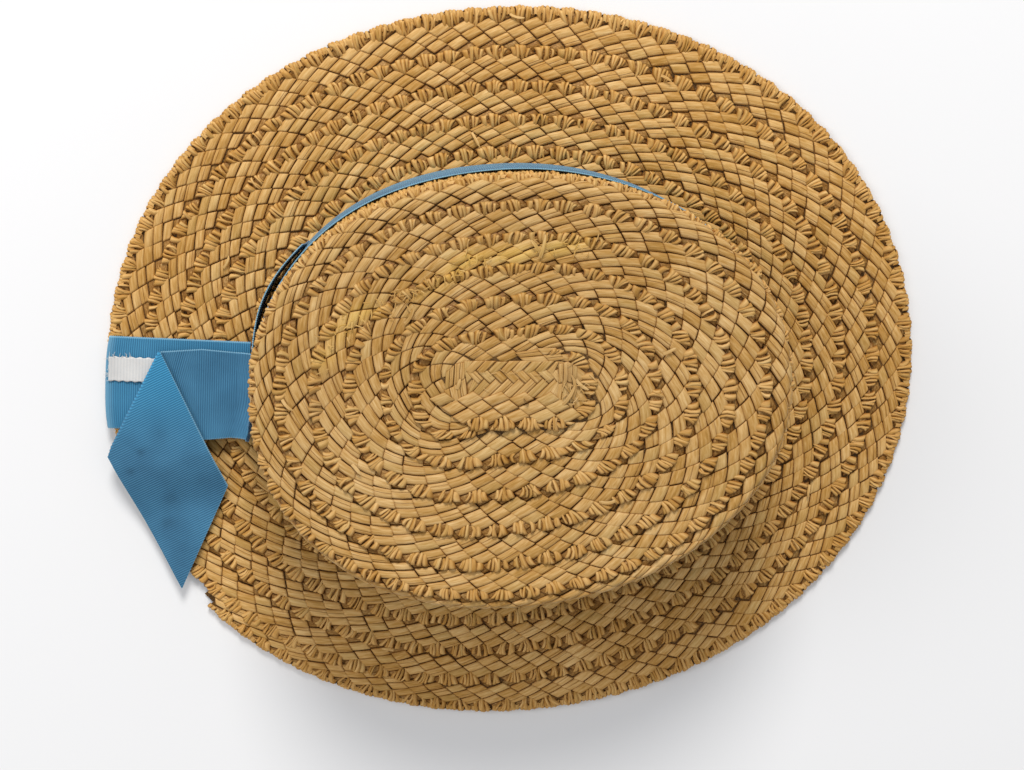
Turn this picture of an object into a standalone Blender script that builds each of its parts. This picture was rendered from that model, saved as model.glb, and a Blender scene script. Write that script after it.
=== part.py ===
"""A straw boater: plaited crown and brim, ribbon band, flat bow and a blank name tape.

Metres, +Z up, crown up. +X is the front of the hat and the bow is at its back. The hat stands on the plane
z = 0, on the flat underside of its outermost brim round.
"""
import math

import bmesh
import bpy
from mathutils import Vector

# Hat block: half sizes of the crown's oval at the tip, and how far the brim reaches past it
CROWN_HALF_LENGTH = 0.0995
CROWN_HALF_WIDTH = 0.0795
CROWN_HEIGHT = 0.085
BRIM_REACH = 0.065
WALL_FLARE = 0.0015
EDGE_RADIUS = 0.004

# An oval's squareness (2 is an ellipse) and its egg shape (negative is wider at the back)
CROWN_SQUARENESS, CROWN_EGG = 2.115, -0.045
RIM_SQUARENESS, RIM_EGG = 2.04, -0.01

# The short straight length of plait that the coil starts from, at the middle of the tip
CORE_HALF_LENGTH = 0.018
CORE_HALF_WIDTH = 0.0115
CORE_SQUARENESS = 4.0
CORE_CENTRE = (-0.0063, 0.0015)

# Rounds of the coiled plait on each stretch
TIP_ROUNDS = 6
WALL_ROUNDS = 6
BRIM_ROUNDS = 5
STEP_HEIGHT = 0.0009
STRAW_THICKNESS = 0.0027

# Brim: the top of its outermost round, the rise from the rim to the wall, and the flat of its underside
BRIM_TOP = 0.0032
BRIM_RISE = 0.0012
BRIM_UNDER_STEP = 0.0003
RIM_BEVEL = 0.0008

# Ribbon
RIBBON_WIDTH = 0.037
RIBBON_THICKNESS = 0.001
TAPE_WIDTH = 0.0098
TAPE_LENGTH = 0.030
TAPE_THICKNESS = 0.0006
TAPE_OUTER_END = 0.0563
TAPE_LOWER_SIDE = 0.0008
GAP = 0.0003

# The bow lies out from the wall along its own axes: "out" from the root, "side" towards +Y
BOW_ROOT = (-0.1068, 0.0029)
BOW_BEARING = math.radians(172.0)
LOOP_REACH = 0.0575
LOOP_AIR = 0.0009

# Corners of the folded tail on the bow's axes, as (out, side)
FOLD_TOP = (0.0355, 0.0135)
FOLD_BOTTOM = (0.0554, -0.0299)
TAIL_TOP_CORNER = (0.0075, -0.0403)
TAIL_TIP = (0.0251, -0.0839)
UPPER_MIDDLE = ((0.0190, 0.0152), (0.0190, -0.0216))
FOLD_SLANT = 0.4

# The tail starts to drop this far past the ply under it, and lies on the brim this much further on
TAIL_DROP_START = 0.004
TAIL_DROP_LENGTH = 0.016

# The bow's inner end turns up the wall
TURN_UP_RADIUS = 0.008
TURN_UP_HEIGHT = 0.024
TURN_UP_SIDES = (0.0145, -0.0200)
WALL_LINE_MIDDLE = -0.0034
WALL_LINE_CURVE = 5.2

# The loose ply of the band, between two bearings round the wall
PLY_START = math.radians(167.5)
PLY_END = math.radians(138.0)
PLY_CORNER = 0.007
PLY_STAND_OFF = 0.0014
PLY_BULGE = 0.0006
PLY_LEAN = 0.0008

SEGMENTS = 56
SHARP_ANGLE = math.radians(40.0)

STRAW_COLOUR = (0.52, 0.31, 0.11, 1.0)
RIBBON_COLOUR = (0.10, 0.25, 0.40, 1.0)
TAPE_COLOUR = (0.80, 0.77, 0.72, 1.0)

# One round of plait from its inner to its outer edge: (fraction across, fraction of the step's height)
ROUND_SECTION = (
    (0.03, 0.0),
    (0.30, 0.7),
    (0.96, 1.0),
)


def clear_scene():
    for obj in list(bpy.data.objects):
        bpy.data.objects.remove(obj, do_unlink=True)


def make_material(name, colour, roughness):
    material = bpy.data.materials.new(name)
    material.use_nodes = True
    shader = material.node_tree.nodes["Principled BSDF"]
    shader.inputs["Base Color"].default_value = colour
    shader.inputs["Roughness"].default_value = roughness
    shader.inputs["Metallic"].default_value = 0.0
    return material


def mix(a, b, t):
    return a + (b - a) * t


def smooth(t):
    t = min(max(t, 0.0), 1.0)
    return t * t * (3.0 - 2.0 * t)


def oval(angle, half_length, half_width, squareness, egg):
    """A point of a squared, slightly egg-shaped oval."""
    c, s = math.cos(angle), math.sin(angle)
    power = 2.0 / squareness
    x = half_length * math.copysign(abs(c) ** power, c)
    y = half_width * math.copysign(abs(s) ** power, s) * (1.0 + egg * c)
    return x, y


def spread_oval(angle, spread):
    """The hat's oval, spread outwards from the crown's own oval by a distance."""
    t = min(max(spread / BRIM_REACH, 0.0), 1.0)
    return oval(angle, CROWN_HALF_LENGTH + spread, CROWN_HALF_WIDTH + spread,
                mix(CROWN_SQUARENESS, RIM_SQUARENESS, t), mix(CROWN_EGG, RIM_EGG, t))


def ring(spread, z):
    """One ring of points round the wall or the brim."""
    points = []
    for i in range(SEGMENTS):
        x, y = spread_oval(2.0 * math.pi * i / SEGMENTS, spread)
        points.append(Vector((x, y, z)))
    return points


def tip_ring(share, spread, z):
    """One ring of the tip, a share of the way from the coil's core to the crown's oval."""
    points = []
    for i in range(SEGMENTS):
        angle = 2.0 * math.pi * i / SEGMENTS
        inner = oval(angle, CORE_HALF_LENGTH, CORE_HALF_WIDTH, CORE_SQUARENESS, 0.0)
        outer = spread_oval(angle, spread)
        x = mix(inner[0] + CORE_CENTRE[0], outer[0], share)
        y = mix(inner[1] + CORE_CENTRE[1], outer[1], share)
        points.append(Vector((x, y, z)))
    return points


def loft(name, rings, material, closed):
    """A solid through rings of equal count: a closed one joins last to first, an open one is capped."""
    bm = bmesh.new()
    loops = [[bm.verts.new(point) for point in points] for points in rings]
    count = len(loops[0])
    pairs = len(loops) if closed else len(loops) - 1
    for k in range(pairs):
        first, second = loops[k], loops[(k + 1) % len(loops)]
        for i in range(count):
            j = (i + 1) % count
            bm.faces.new((first[i], first[j], second[j], second[i]))
    if not closed:
        bm.faces.new(loops[0])
        bm.faces.new(loops[-1])
    bmesh.ops.recalc_face_normals(bm, faces=bm.faces)
    return finish_mesh(name, bm, material)


def finish_mesh(name, bm, material):
    mesh = bpy.data.meshes.new(name)
    bm.to_mesh(mesh)
    bm.free()
    mesh.shade_smooth()
    mesh.set_sharp_from_angle(angle=SHARP_ANGLE)
    mesh.materials.append(material)
    obj = bpy.data.objects.new(name, mesh)
    PARTS.objects.link(obj)
    return obj


def sheet(name, rows, material, thickness):
    """A ribbon: an open surface through rows of points, given its thickness by Solidify."""
    bm = bmesh.new()
    grid = [[bm.verts.new(point) for point in row] for row in rows]
    for first, second in zip(grid, grid[1:]):
        for i in range(len(first) - 1):
            bm.faces.new((first[i], first[i + 1], second[i + 1], second[i]))
    obj = finish_mesh(name, bm, material)
    solidify = obj.modifiers.new("Thickness", "SOLIDIFY")
    solidify.thickness = thickness
    solidify.offset = 0.0
    return obj


def make_crown(material):
    """Tip and side wall: a step for each round of plait outside, a plain wall inside."""
    rings = []
    for k in range(TIP_ROUNDS):
        for across, height in ROUND_SECTION:
            share = (k + across) / TIP_ROUNDS
            drop = STEP_HEIGHT * (1.0 - height)
            rings.append(tip_ring(share, -EDGE_RADIUS, CROWN_HEIGHT - drop))
    turn = EDGE_RADIUS * (1.0 - math.sqrt(0.5))
    rings.append(ring(-turn, CROWN_HEIGHT - turn))
    wall_top = CROWN_HEIGHT - EDGE_RADIUS
    for k in range(WALL_ROUNDS):
        for across, height in ROUND_SECTION:
            down = (k + across) / WALL_ROUNDS
            step = STEP_HEIGHT * (height - 1.0)
            rings.append(ring(WALL_FLARE * down + step, mix(wall_top, BRIM_RISE, down)))
    rings.append(ring(WALL_FLARE - STEP_HEIGHT, BRIM_RISE))
    for down in (1.0, 0.75, 0.5, 0.25, 0.0):
        rings.append(ring(WALL_FLARE * down - STRAW_THICKNESS, mix(wall_top, BRIM_RISE, down)))
    inner_top = CROWN_HEIGHT - STRAW_THICKNESS
    for share in (1.0, 0.5, 0.0):
        rings.append(tip_ring(share, -EDGE_RADIUS, inner_top))
    return loft("crown", rings, material, closed=False)


def brim_top(spread):
    """Height of the brim's ridges at a distance out from the crown's oval."""
    return BRIM_TOP + BRIM_RISE * (1.0 - spread / BRIM_REACH)


def make_brim(material):
    """Five stepped rounds of plait; the outermost one's underside is a flat ring on the floor."""
    inner = WALL_FLARE + GAP
    width = (BRIM_REACH - inner) / BRIM_ROUNDS
    rings = []
    for k in range(BRIM_ROUNDS):
        for across, height in ROUND_SECTION:
            last = k == BRIM_ROUNDS - 1 and height == 1.0
            spread = BRIM_REACH - RIM_BEVEL if last else inner + width * (k + across)
            rings.append(ring(spread, brim_top(spread) - STEP_HEIGHT * (1.0 - height)))
    rings.append(ring(BRIM_REACH, brim_top(BRIM_REACH) - RIM_BEVEL))
    rings.append(ring(BRIM_REACH, RIM_BEVEL))
    rings.append(ring(BRIM_REACH - RIM_BEVEL, 0.0))
    for k in reversed(range(1, BRIM_ROUNDS)):
        spread = inner + width * k
        rise = BRIM_RISE * (1.0 - k / (BRIM_ROUNDS - 1))
        rings.append(ring(spread, rise))
        rings.append(ring(spread - GAP, rise + BRIM_UNDER_STEP))
    rings.append(ring(inner, BRIM_RISE))
    return loft("brim", rings, material, closed=True)


def make_band(material):
    """The ribbon round the foot of the wall, just clear of the plait's ridges."""
    foot = brim_top(0.0) + GAP
    inner = WALL_FLARE + GAP
    outer = inner + RIBBON_THICKNESS
    top = foot + RIBBON_WIDTH
    rings = [ring(inner, foot), ring(outer, foot), ring(outer, top), ring(inner, top)]
    return loft("hat_band", rings, material, closed=True)


def make_loose_ply(material):
    """The band's overlapping end: it stands off the wall and has a rounded free corner."""
    foot = brim_top(0.0) + 2.0 * GAP
    close = WALL_FLARE + 2.0 * GAP + 1.5 * RIBBON_THICKNESS
    columns = 15
    rows = []
    for i in range(columns):
        t = i / (columns - 1)
        angle = mix(PLY_START, PLY_END, t)
        stand_off = close + PLY_STAND_OFF * (1.0 - t) + PLY_BULGE * math.sin(math.pi * t)
        along = (1.0 - t) * (PLY_START - PLY_END) * CROWN_HALF_LENGTH
        cut = max(PLY_CORNER - along, 0.0)
        top = RIBBON_WIDTH - PLY_CORNER + math.sqrt(PLY_CORNER ** 2 - cut ** 2)
        row = []
        for share in (0.0, 0.5, 1.0):
            x, y = spread_oval(angle, stand_off + PLY_LEAN * share)
            row.append(Vector((x, y, foot + top * share)))
        rows.append(row)
    return sheet("band_end", rows, material, RIBBON_THICKNESS)


def bow_point(out, side, height):
    """A point on the bow's own axes, at a height over the brim's ridges there."""
    direction = Vector((math.cos(BOW_BEARING), math.sin(BOW_BEARING)))
    across = Vector((direction.y, -direction.x))
    place = Vector(BOW_ROOT) + out * direction + side * across
    reach = min(max(out, 0.0), BRIM_REACH)
    return Vector((place.x, place.y, brim_top(reach) + height))


def loop_height():
    """Thickness of the flattened loop: two plies with a little air between."""
    return 2.0 * RIBBON_THICKNESS + LOOP_AIR


def make_loop(material):
    """The flattened loop: out along the brim, round a soft fold past the rim, and back."""
    low = GAP + 0.5 * RIBBON_THICKNESS
    radius = 0.5 * (LOOP_AIR + RIBBON_THICKNESS)
    flat_end = LOOP_REACH - radius
    path = [(flat_end * i / 5, low) for i in range(6)]
    for i in range(1, 6):
        turn = math.pi * i / 6
        path.append((flat_end + radius * math.sin(turn), low + radius * (1.0 - math.cos(turn))))
    path += [(flat_end * i / 5, low + 2.0 * radius) for i in reversed(range(6))]
    half = 0.5 * RIBBON_WIDTH
    rows = [[bow_point(out, side, height) for side in (-half, 0.0, half)] for out, height in path]
    return sheet("bow_loop", rows, material, RIBBON_THICKNESS)


def make_tape(material):
    """The woven name tape, left bare: it lies on the loop and runs under the tail."""
    height = loop_height() + 2.0 * GAP + 0.5 * TAPE_THICKNESS
    sides = [TAPE_LOWER_SIDE + TAPE_WIDTH * share for share in (0.0, 0.5, 1.0)]
    rows = []
    for i in range(5):
        out = TAPE_OUTER_END - TAPE_LENGTH * i / 4
        rows.append([bow_point(out, side, height) for side in sides])
    return sheet("name_tape", rows, material, TAPE_THICKNESS)


def make_tail(material):
    """The upper ribbon: turned up the wall, out over the loop, folded on the slant, then the cut tail."""
    low = loop_height() + 3.0 * GAP + TAPE_THICKNESS + 0.5 * RIBBON_THICKNESS
    fold_radius = 0.75 * RIBBON_THICKNESS
    high = low + 2.0 * fold_radius
    shares = [i / 5 for i in range(6)]

    def section(start, end, heights):
        row = []
        for share, height in zip(shares, heights):
            row.append(bow_point(mix(start[0], end[0], share), mix(start[1], end[1], share), height))
        return row

    rows = []
    for height in (low + TURN_UP_HEIGHT, low + 0.5 * (TURN_UP_HEIGHT + TURN_UP_RADIUS)):
        rows.append(turned_row(shares, height, 0.0))
    for i in range(5):
        turn = 0.5 * math.pi * i / 4
        rise = TURN_UP_RADIUS * (1.0 - math.sin(turn))
        shift = TURN_UP_RADIUS * (1.0 - math.cos(turn))
        rows.append(turned_row(shares, low + rise, shift))
    flat = [low] * len(shares)
    rows.append(section(*UPPER_MIDDLE, flat))
    rows.append(section(FOLD_TOP, FOLD_BOTTOM, flat))
    for i in range(1, 4):
        turn = math.pi * i / 4
        out = fold_radius * math.sin(turn)
        rise = fold_radius * (1.0 - math.cos(turn))
        top = (FOLD_TOP[0] + out, FOLD_TOP[1] + FOLD_SLANT * out)
        bottom = (FOLD_BOTTOM[0] + out, FOLD_BOTTOM[1] + FOLD_SLANT * out)
        rows.append(section(top, bottom, [low + rise] * len(shares)))
    for i in range(9):
        t = i / 8
        start = (mix(FOLD_TOP[0], TAIL_TOP_CORNER[0], t), mix(FOLD_TOP[1], TAIL_TOP_CORNER[1], t))
        end = (mix(FOLD_BOTTOM[0], TAIL_TIP[0], t), mix(FOLD_BOTTOM[1], TAIL_TIP[1], t))
        places = [(mix(start[0], end[0], s), mix(start[1], end[1], s)) for s in shares]
        heights = [tail_height(out, side, high) for out, side in places]
        rows.append(section(start, end, heights))
    return sheet("bow_tail", rows, material, RIBBON_THICKNESS)


def turned_row(shares, height, shift):
    """A row of the turned-up end, which follows the wall's curve at a distance out from it."""
    row = []
    for share in shares:
        side = mix(TURN_UP_SIDES[0], TURN_UP_SIDES[1], share)
        wall_line = WALL_LINE_MIDDLE + WALL_LINE_CURVE * side * side
        row.append(bow_point(wall_line + shift, side, height))
    return row


def tail_height(out, side, high):
    """The tail drops to the brim past the lower edge of the upper ribbon, which runs under it."""
    resting = 2.0 * GAP + 0.5 * RIBBON_THICKNESS
    edge_start, edge_end = UPPER_MIDDLE[1], FOLD_BOTTOM
    share = (out - edge_start[0]) / (edge_end[0] - edge_start[0])
    past_edge = mix(edge_start[1], edge_end[1], share) - side
    return mix(high, resting, smooth((past_edge - TAIL_DROP_START) / TAIL_DROP_LENGTH))


def centre_over_origin(objects):
    """Shifts every part so that the middle of the whole hat's box stands on the origin."""
    bpy.context.view_layer.update()
    graph = bpy.context.evaluated_depsgraph_get()
    xs, ys = [], []
    for obj in objects:
        mesh = obj.evaluated_get(graph).to_mesh()
        xs += [v.co.x for v in mesh.vertices]
        ys += [v.co.y for v in mesh.vertices]
    shift = Vector((-0.5 * (min(xs) + max(xs)), -0.5 * (min(ys) + max(ys)), 0.0))
    for obj in objects:
        obj.location = shift
    print("centring shift, mm:", [round(1000.0 * value, 3) for value in shift])


clear_scene()
PARTS = bpy.data.collections.new("boater_hat")
bpy.context.scene.collection.children.link(PARTS)

straw = make_material("straw", STRAW_COLOUR, 0.6)
ribbon = make_material("ribbon", RIBBON_COLOUR, 0.7)
tape = make_material("tape", TAPE_COLOUR, 0.85)

hat = [
    make_crown(straw),
    make_brim(straw),
    make_band(ribbon),
    make_loose_ply(ribbon),
    make_loop(ribbon),
    make_tail(ribbon),
    make_tape(tape),
]
centre_over_origin(hat)
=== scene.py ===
"""A straw boater in coiled plait with a blue grosgrain band and bow, dressed over its plain solids.

Lengths are in millimetres on the hat's own axes (+Z up, +X the front, the bow at the back) until a mesh is
made, when they become metres in the part's frame.
"""
import math
from functools import partialmethod

import bpy
import numpy as np
from mathutils import Matrix, Vector


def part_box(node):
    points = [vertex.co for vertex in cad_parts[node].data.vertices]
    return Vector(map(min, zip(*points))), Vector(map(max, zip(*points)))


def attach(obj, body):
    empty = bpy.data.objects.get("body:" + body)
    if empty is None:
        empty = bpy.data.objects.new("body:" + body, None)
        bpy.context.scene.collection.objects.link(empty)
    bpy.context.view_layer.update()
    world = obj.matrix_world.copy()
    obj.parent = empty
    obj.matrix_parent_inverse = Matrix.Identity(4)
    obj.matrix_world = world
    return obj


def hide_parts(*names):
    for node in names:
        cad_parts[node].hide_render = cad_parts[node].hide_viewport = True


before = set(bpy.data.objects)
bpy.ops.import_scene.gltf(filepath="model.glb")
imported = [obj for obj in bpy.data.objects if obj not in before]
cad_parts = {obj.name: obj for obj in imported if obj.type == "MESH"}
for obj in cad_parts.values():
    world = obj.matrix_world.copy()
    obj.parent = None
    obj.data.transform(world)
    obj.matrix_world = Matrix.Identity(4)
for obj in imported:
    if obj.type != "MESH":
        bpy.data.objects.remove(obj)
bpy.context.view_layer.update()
BRIM_LOW, BRIM_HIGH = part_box("brim")
MM = 0.001
SHIFT = np.array([0.5 * (BRIM_LOW.x + BRIM_HIGH.x), 0.5 * (BRIM_LOW.y + BRIM_HIGH.y), 0.0]) / MM
RNG = np.random.default_rng(1905)

# The block: half sizes of the crown's oval, and how far the brim reaches past it
CROWN_LENGTH, CROWN_WIDTH, CROWN_HEIGHT = 99.5, 79.5, 85.0
BRIM_REACH, WALL_FLARE, EDGE_RADIUS = 65.0, 1.5, 4.0
CROWN_SQUARENESS, CROWN_EGG = 2.115, -0.045
RIM_SQUARENESS, RIM_EGG = 2.04, -0.01
CORE_LENGTH, CORE_WIDTH, CORE_SQUARENESS = 18.0, 11.5, 4.0
CORE_CENTRE = (-6.3, 1.5)
BRIM_TOP, BRIM_RISE, BRIM_INNER = 3.2, 1.2, 1.8
STEP_HEIGHT = 0.9

# The path coordinate counts rounds of plait from the core: tip, turned edge, wall, then brim
TIP_END, EDGE_END, WALL_END, RIM = 6.0, 6.48, 12.48, 17.48
BRIM_ROUND = (BRIM_REACH - BRIM_INNER) / 5.0

# The coil: its last end's angle, and the path of its row of shells after each number of turns
COIL_ANGLE = 215.0
COIL_START, COIL_END = 0.45, 17.0
COIL_KNOTS = np.array([
    (0.35, -0.3), (0.6, 0.9), (0.85, 0.0), (1.1, 1.2), (1.35, 0.95),
    (1.6, 1.72), (1.85, 1.18), (2.1, 2.08), (2.35, 2.08), (2.6, 2.61), (2.85, 2.36), (3.1, 3.2), (3.35, 3.14),
    (3.6, 3.6), (3.85, 3.56), (4.1, 4.28), (4.35, 4.22), (4.6, 4.55), (4.85, 4.72), (5.1, 5.33), (5.35, 5.32),
    (5.6, 5.49), (5.85, 5.75), (6.1, 6.2), (6.35, 6.4), (6.6, 6.58), (6.85, 6.85), (9.0, 9.25), (12.0, 12.6),
    (12.35, 12.99), (12.6, 13.02), (12.85, 13.15), (13.0, 13.6), (13.16, 13.98),
    (13.35, 14.0), (13.6, 14.04), (13.85, 14.22), (14.0, 14.75), (14.16, 15.12), (14.35, 15.04),
    (14.6, 15.12), (14.85, 15.26), (15.0, 15.8), (15.16, 16.18), (15.35, 16.12), (15.6, 16.22),
    (15.85, 16.25), (16.0, 16.9), (16.16, 17.24), (16.35, 17.29), (16.6, 17.27), (16.85, 17.2), (17.0, 17.27),
])
SHELL_CENTRE = 0.19

# The plait: width of a round, length of one repeat, and the lattice of its rows of floats
PLAIT_WIDTH = 13.0
REPEAT = 9.3
ROWS = 3
TIP_ROW_STEP, ROW_STEP = 3.05, 2.72
SLIDE_MEAN, SLIDE_SWING, SLIDE_RIPPLE, RIPPLES = 3.4, 0.6, 0.25, 21.0
STAGGER = 0.9
FIRST_ROW = 5.2

# The relief lies this far below the solid's ridges, so that the bow clears it, and its under face this deep
SUNK = 0.75
UNDER_DEPTH, UNDER_RELIEF = 2.6, 0.4
FLOOR_CLEARANCE = 0.02

# How wide a round may be, as a share of the plait's width, and a round's section from its inner edge
NARROWEST, WIDEST = 0.86, 1.16
SHINGLE = ((-0.2, 0.03, 0.30, 0.96), (0.0, 0.0, 0.7, 1.0))

RIBBON_WIDTH = 37.0

# The bow lies out from the wall along its own axes: "out" from its root, "side" towards +Y
BOW_ROOT, BOW_BEARING = np.array([-106.8, 2.9]), math.radians(172.0)
BOW_OUT = np.array([math.cos(BOW_BEARING), math.sin(BOW_BEARING)])
BOW_SIDE = np.array([BOW_OUT[1], -BOW_OUT[0]])
LOOP_REACH, LOOP_LOW, LOOP_RADIUS = 57.5, 0.62, 1.05


def mix(a, b, t):
    return a + (b - a) * t


def smooth(t):
    t = np.clip(t, 0.0, 1.0)
    return t * t * (3.0 - 2.0 * t)


def unit(v):
    return v / np.maximum(np.linalg.norm(v, axis=-1, keepdims=True), 1e-9)


def down(values):
    """Values down the rows of every patch."""
    return np.asarray(values)[None, :, None]


def over(values):
    """Values over the columns of every patch."""
    return np.asarray(values)[None, None, :]


def sized(limits, shape):
    """Random sizes, from their least and their spread."""
    return limits[0] + limits[1] * RNG.random(shape)


def joined(*parts):
    """Arrays of unlike shapes, broadcast together and stacked on a last axis."""
    return np.stack(np.broadcast_arrays(*parts), axis=-1)


def oval(angle, length, width, squareness, egg):
    c, s = np.cos(angle), np.sin(angle)
    power = 2.0 / squareness
    x = length * np.sign(c) * np.abs(c) ** power
    y = width * np.sign(s) * np.abs(s) ** power * (1.0 + egg * c)
    return x, y


def spread_oval(angle, spread):
    """The hat's oval, spread outwards from the crown's own oval by a distance."""
    t = np.clip(spread / BRIM_REACH, 0.0, 1.0)
    return oval(angle, CROWN_LENGTH + spread, CROWN_WIDTH + spread,
                mix(CROWN_SQUARENESS, RIM_SQUARENESS, t), mix(CROWN_EGG, RIM_EGG, t))


def brim_top(spread):
    return BRIM_TOP + BRIM_RISE * (1.0 - spread / BRIM_REACH)


def surface(path, angle):
    """A point of the hat's upper surface, from its path coordinate and its angle round the oval."""
    share = path / TIP_END
    core_x, core_y = oval(angle, CORE_LENGTH, CORE_WIDTH, CORE_SQUARENESS, 0.0)
    edge_x, edge_y = spread_oval(angle, -EDGE_RADIUS + 0.0 * angle)
    tip_x = mix(core_x + CORE_CENTRE[0], edge_x, share)
    tip_y = mix(core_y + CORE_CENTRE[1], edge_y, share)
    turn = 0.5 * np.pi * np.clip((path - TIP_END) / (EDGE_END - TIP_END), 0.0, 1.0)
    down = np.clip((path - EDGE_END) / (WALL_END - EDGE_END), 0.0, 1.0)
    out = BRIM_INNER + BRIM_ROUND * (path - WALL_END)
    on_brim = path > WALL_END
    spread = np.where(on_brim, out, EDGE_RADIUS * (np.sin(turn) - 1.0) + WALL_FLARE * down)
    fall = (CROWN_HEIGHT - EDGE_RADIUS - BRIM_TOP) * down
    wall_z = CROWN_HEIGHT - EDGE_RADIUS * (1.0 - np.cos(turn)) - fall
    z = np.where(on_brim, brim_top(out), wall_z)
    x, y = spread_oval(angle, spread)
    on_tip = path < TIP_END
    return joined(np.where(on_tip, tip_x, x), np.where(on_tip, tip_y, y), np.where(on_tip, CROWN_HEIGHT, z))


def normal(path, angle):
    """The surface's outward normal, by small differences that don't cross the foot of the wall."""
    step = 0.02
    low = np.where((path > WALL_END) & (path < WALL_END + step), path, path - step)
    high = np.where((path <= WALL_END) & (path > WALL_END - step), path, path + step)
    along = surface(path, angle + step) - surface(path, angle - step)
    return unit(np.cross(surface(high, angle) - surface(low, angle), along))


def catmull(knots, t):
    """A smooth curve through the knots, at the values t."""
    x, y = knots[:, 0], knots[:, 1]
    slope = np.gradient(y, x)
    i = np.clip(np.searchsorted(x, t) - 1, 0, len(x) - 2)
    h = x[i + 1] - x[i]
    u = np.clip((t - x[i]) / h, 0.0, 1.0)
    return ((1 + 2 * u) * (1 - u) ** 2 * y[i] + u * (1 - u) ** 2 * h * slope[i]
            + u * u * (3 - 2 * u) * y[i + 1] + u * u * (u - 1) * h * slope[i + 1])


def outer_line(turns):
    """Path coordinate of the plait's outer edge after a number of turns, held inside the rim."""
    return np.minimum(catmull(COIL_KNOTS, np.asarray(turns, float)) + SHELL_CENTRE, RIM)


def coil_angle(turns):
    return np.radians(COIL_ANGLE - 360.0 * turns)


# Arc length along the coil, measured on the middle of the plait
TURNS = np.arange(COIL_START, COIL_END, 0.002)
MIDDLE = surface(outer_line(TURNS) - 0.5, coil_angle(TURNS))
LENGTH = np.concatenate([[0.0], np.cumsum(np.linalg.norm(np.diff(MIDDLE, axis=0), axis=1))])
RIM_ROUND = 980.0


def turns_at(along):
    return np.interp(along, LENGTH, TURNS) + np.maximum(along - LENGTH[-1], 0.0) / RIM_ROUND


def base_height(inward):
    """Rounds are shingled: a round is lowest along its inner edge, where the one inside it lies on it."""
    across = 1.0 - inward / PLAIT_WIDTH
    return STEP_HEIGHT * (np.interp(across, *SHINGLE) - 1.0)


def coil_point(along, inward, height, under=False):
    """A point at a length along the coil, a distance in from its outer edge and a height over the surface."""
    turns = turns_at(along)
    line = outer_line(turns)
    previous = outer_line(np.maximum(turns - 1.0, COIL_KNOTS[0, 0]))
    width = np.clip(line - previous, NARROWEST, WIDEST)
    path = line - width * inward / PLAIT_WIDTH
    angle = coil_angle(turns)
    if under:
        offset = UNDER_RELIEF * (2.0 * base_height(inward) - height) - UNDER_DEPTH
    else:
        offset = height - SUNK
    points = surface(path, angle) + normal(path, angle) * offset[..., None]
    points[..., 2] = np.maximum(points[..., 2], FLOOR_CLEARANCE)
    return points


# The straight length in the middle of the tip: its near left corner, its direction, and its size
CENTRE_CORNER = np.array([-20.4, 14.5])
CENTRE_WAY, CENTRE_DOWN = np.array([0.9953, -0.0972]), np.array([-0.0972, -0.9953])
CENTRE_LENGTH, CENTRE_DEPTH = 35.0, 25.3
CENTRE_RISE = 0.7


def centre_point(along, inward, height, under=False):
    """The same coordinates on the coil's straight beginning, which runs leftwards, shells down."""
    x, y, rise = np.broadcast_arrays(CENTRE_LENGTH - along, CENTRE_DEPTH - inward, height)
    flat = CENTRE_CORNER + x[..., None] * CENTRE_WAY + y[..., None] * CENTRE_DOWN
    return np.concatenate([flat, (CROWN_HEIGHT + CENTRE_RISE - SUNK + rise)[..., None]], axis=-1)


def centre_level(along, inward, height, under=False):
    """The same, with the shingling of the rounds taken out."""
    return centre_point(along, inward, height - base_height(inward))


def centre_under(shift):
    """A way to lay plait inside the crown below its straight beginning, a shift further in."""
    def lay(along, inward, height, under=True):
        points = centre_point(along, inward + shift, height)
        points[..., 2] = CROWN_HEIGHT - UNDER_DEPTH - UNDER_RELIEF * (height - base_height(inward))
        return points
    return lay


# A yellow stain bows over the tip from the left, with worn spots: x, y and radius
STAIN = np.array([(-72.0, 17.0), (-59.3, 33.2), (-44.0, 38.0), (-29.7, 41.1), (-14.4, 50.5), (18.0, 51.0),
                  (36.0, 54.0)])
STAIN_HALF_WIDTH = 3.4
WORN = ((-70.0, 14.0, 4.5), (-75.1, 2.8, 3.5), (18.0, 6.0, 4.0))
TIP_LOW = CROWN_HEIGHT - 3.0


def stained(points):
    """How strongly each point of the tip is stained, from 0 to 1."""
    flat = points[:, :2]
    nearest = np.full(len(flat), np.inf)
    for start, end in zip(STAIN[:-1], STAIN[1:]):
        way = end - start
        t = np.clip((flat - start) @ way / (way @ way), 0.0, 1.0)
        nearest = np.minimum(nearest, np.linalg.norm(flat - start - t[:, None] * way, axis=1))
    return np.exp(-(nearest / STAIN_HALF_WIDTH) ** 2) * (points[:, 2] > TIP_LOW)


def pressed(points):
    """The brim's straws lie flatter under the loop of the bow."""
    out, side = (points[:, :2] - BOW_ROOT) @ BOW_OUT, (points[:, :2] - BOW_ROOT) @ BOW_SIDE
    under_bow = (out > 0.0) & (out < LOOP_REACH + 3.0) & (np.abs(side) < 0.5 * RIBBON_WIDTH + 1.0)
    flat = np.minimum(points[:, 2], brim_top(np.clip(out, 0.0, BRIM_REACH)) + 0.25)
    return np.column_stack([points[:, :2], np.where(under_bow, flat, points[:, 2])])


def worn(points):
    """How worn each point of the tip is, from 0 to 1."""
    total = np.zeros(len(points))
    for x, y, radius in WORN:
        total = np.maximum(total, np.exp(-((points[:, 0] - x) ** 2 + (points[:, 1] - y) ** 2) / radius ** 2))
    return total * (points[:, 2] > TIP_LOW)


# Kinds of straw, as the material reads them, the tone of the under layer, and the grain's extent
FLOAT, LINK, SHELL, BASE = 0.0, 0.5, 1.0, 2.0
BASE_TONE = np.array([0.4, 0.5, BASE, 0.5])
GRAIN_LENGTH, GRAIN_WIDTH = 900.0, 700.0


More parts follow.
